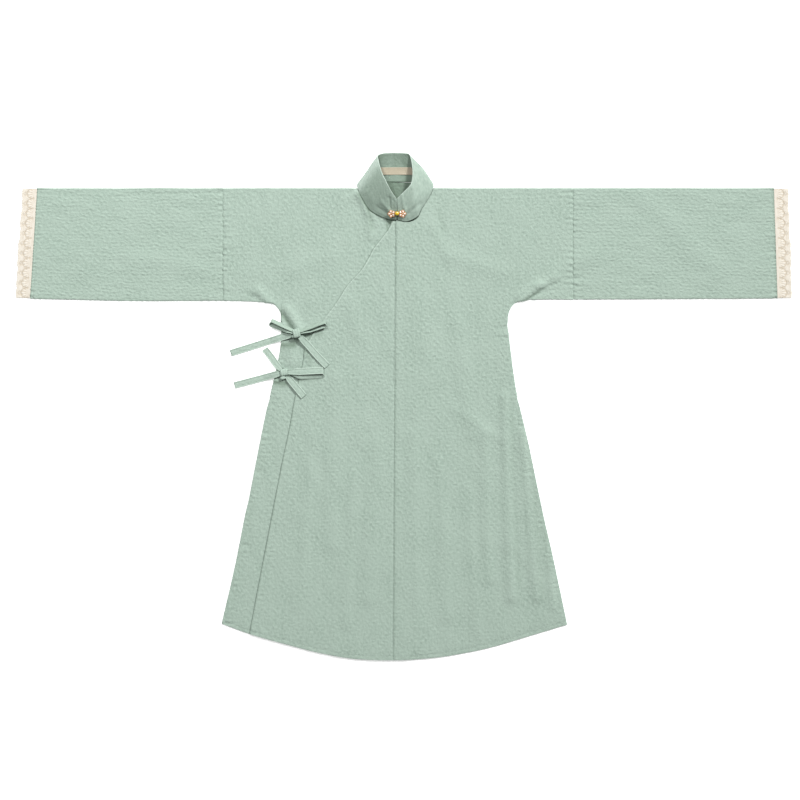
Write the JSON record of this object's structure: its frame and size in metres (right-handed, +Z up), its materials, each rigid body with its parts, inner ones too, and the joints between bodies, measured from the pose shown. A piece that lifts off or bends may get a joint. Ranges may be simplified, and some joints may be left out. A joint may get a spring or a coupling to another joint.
{
  "type": "hanfu shirt laid flat",
  "caption": "Long hanfu shirt in crinkled cotton, laid flat, with a stand collar, a slanting front overlap, side ties and lace cuffs.",
  "frame": {"origin": "centre of the base of the bounding box, on the floor under the waist", "axes": "+X towards the wearer's left sleeve, +Y towards the neck, +Z up from the floor"},
  "size_m": [1.706, 1.1143, 0.0269],
  "materials": {
    "cloth": "matt crinkled cotton",
    "lace": "cotton lace",
    "label": "woven tape, bare",
    "gold": "polished, rose gold",
    "bead": "glossy"
  },
  "bodies": {
    "root": {"left_body": "cloth", "right_body": "cloth", "front_overlap": "cloth", "left_sleeve": "cloth", "right_sleeve": "cloth", "collar": "cloth", "upper_tie_knot": "cloth", "upper_tie_left_loop": "cloth", "upper_tie_right_loop": "cloth", "upper_tie_left_tail": "cloth", "upper_tie_right_tail": "cloth", "lower_tie_knot": "cloth", "lower_tie_right_loop": "cloth", "lower_tie_left_tail": "cloth", "lower_tie_up_tail": "cloth", "lower_tie_down_tail": "cloth", "left_lace_front": "lace", "left_lace_back": "lace", "right_lace_front": "lace", "right_lace_back": "lace", "neck_label": "label", "left_clasp": "gold", "right_clasp": "gold", "clasp_bead": "bead"}
  },
  "joints": []
}
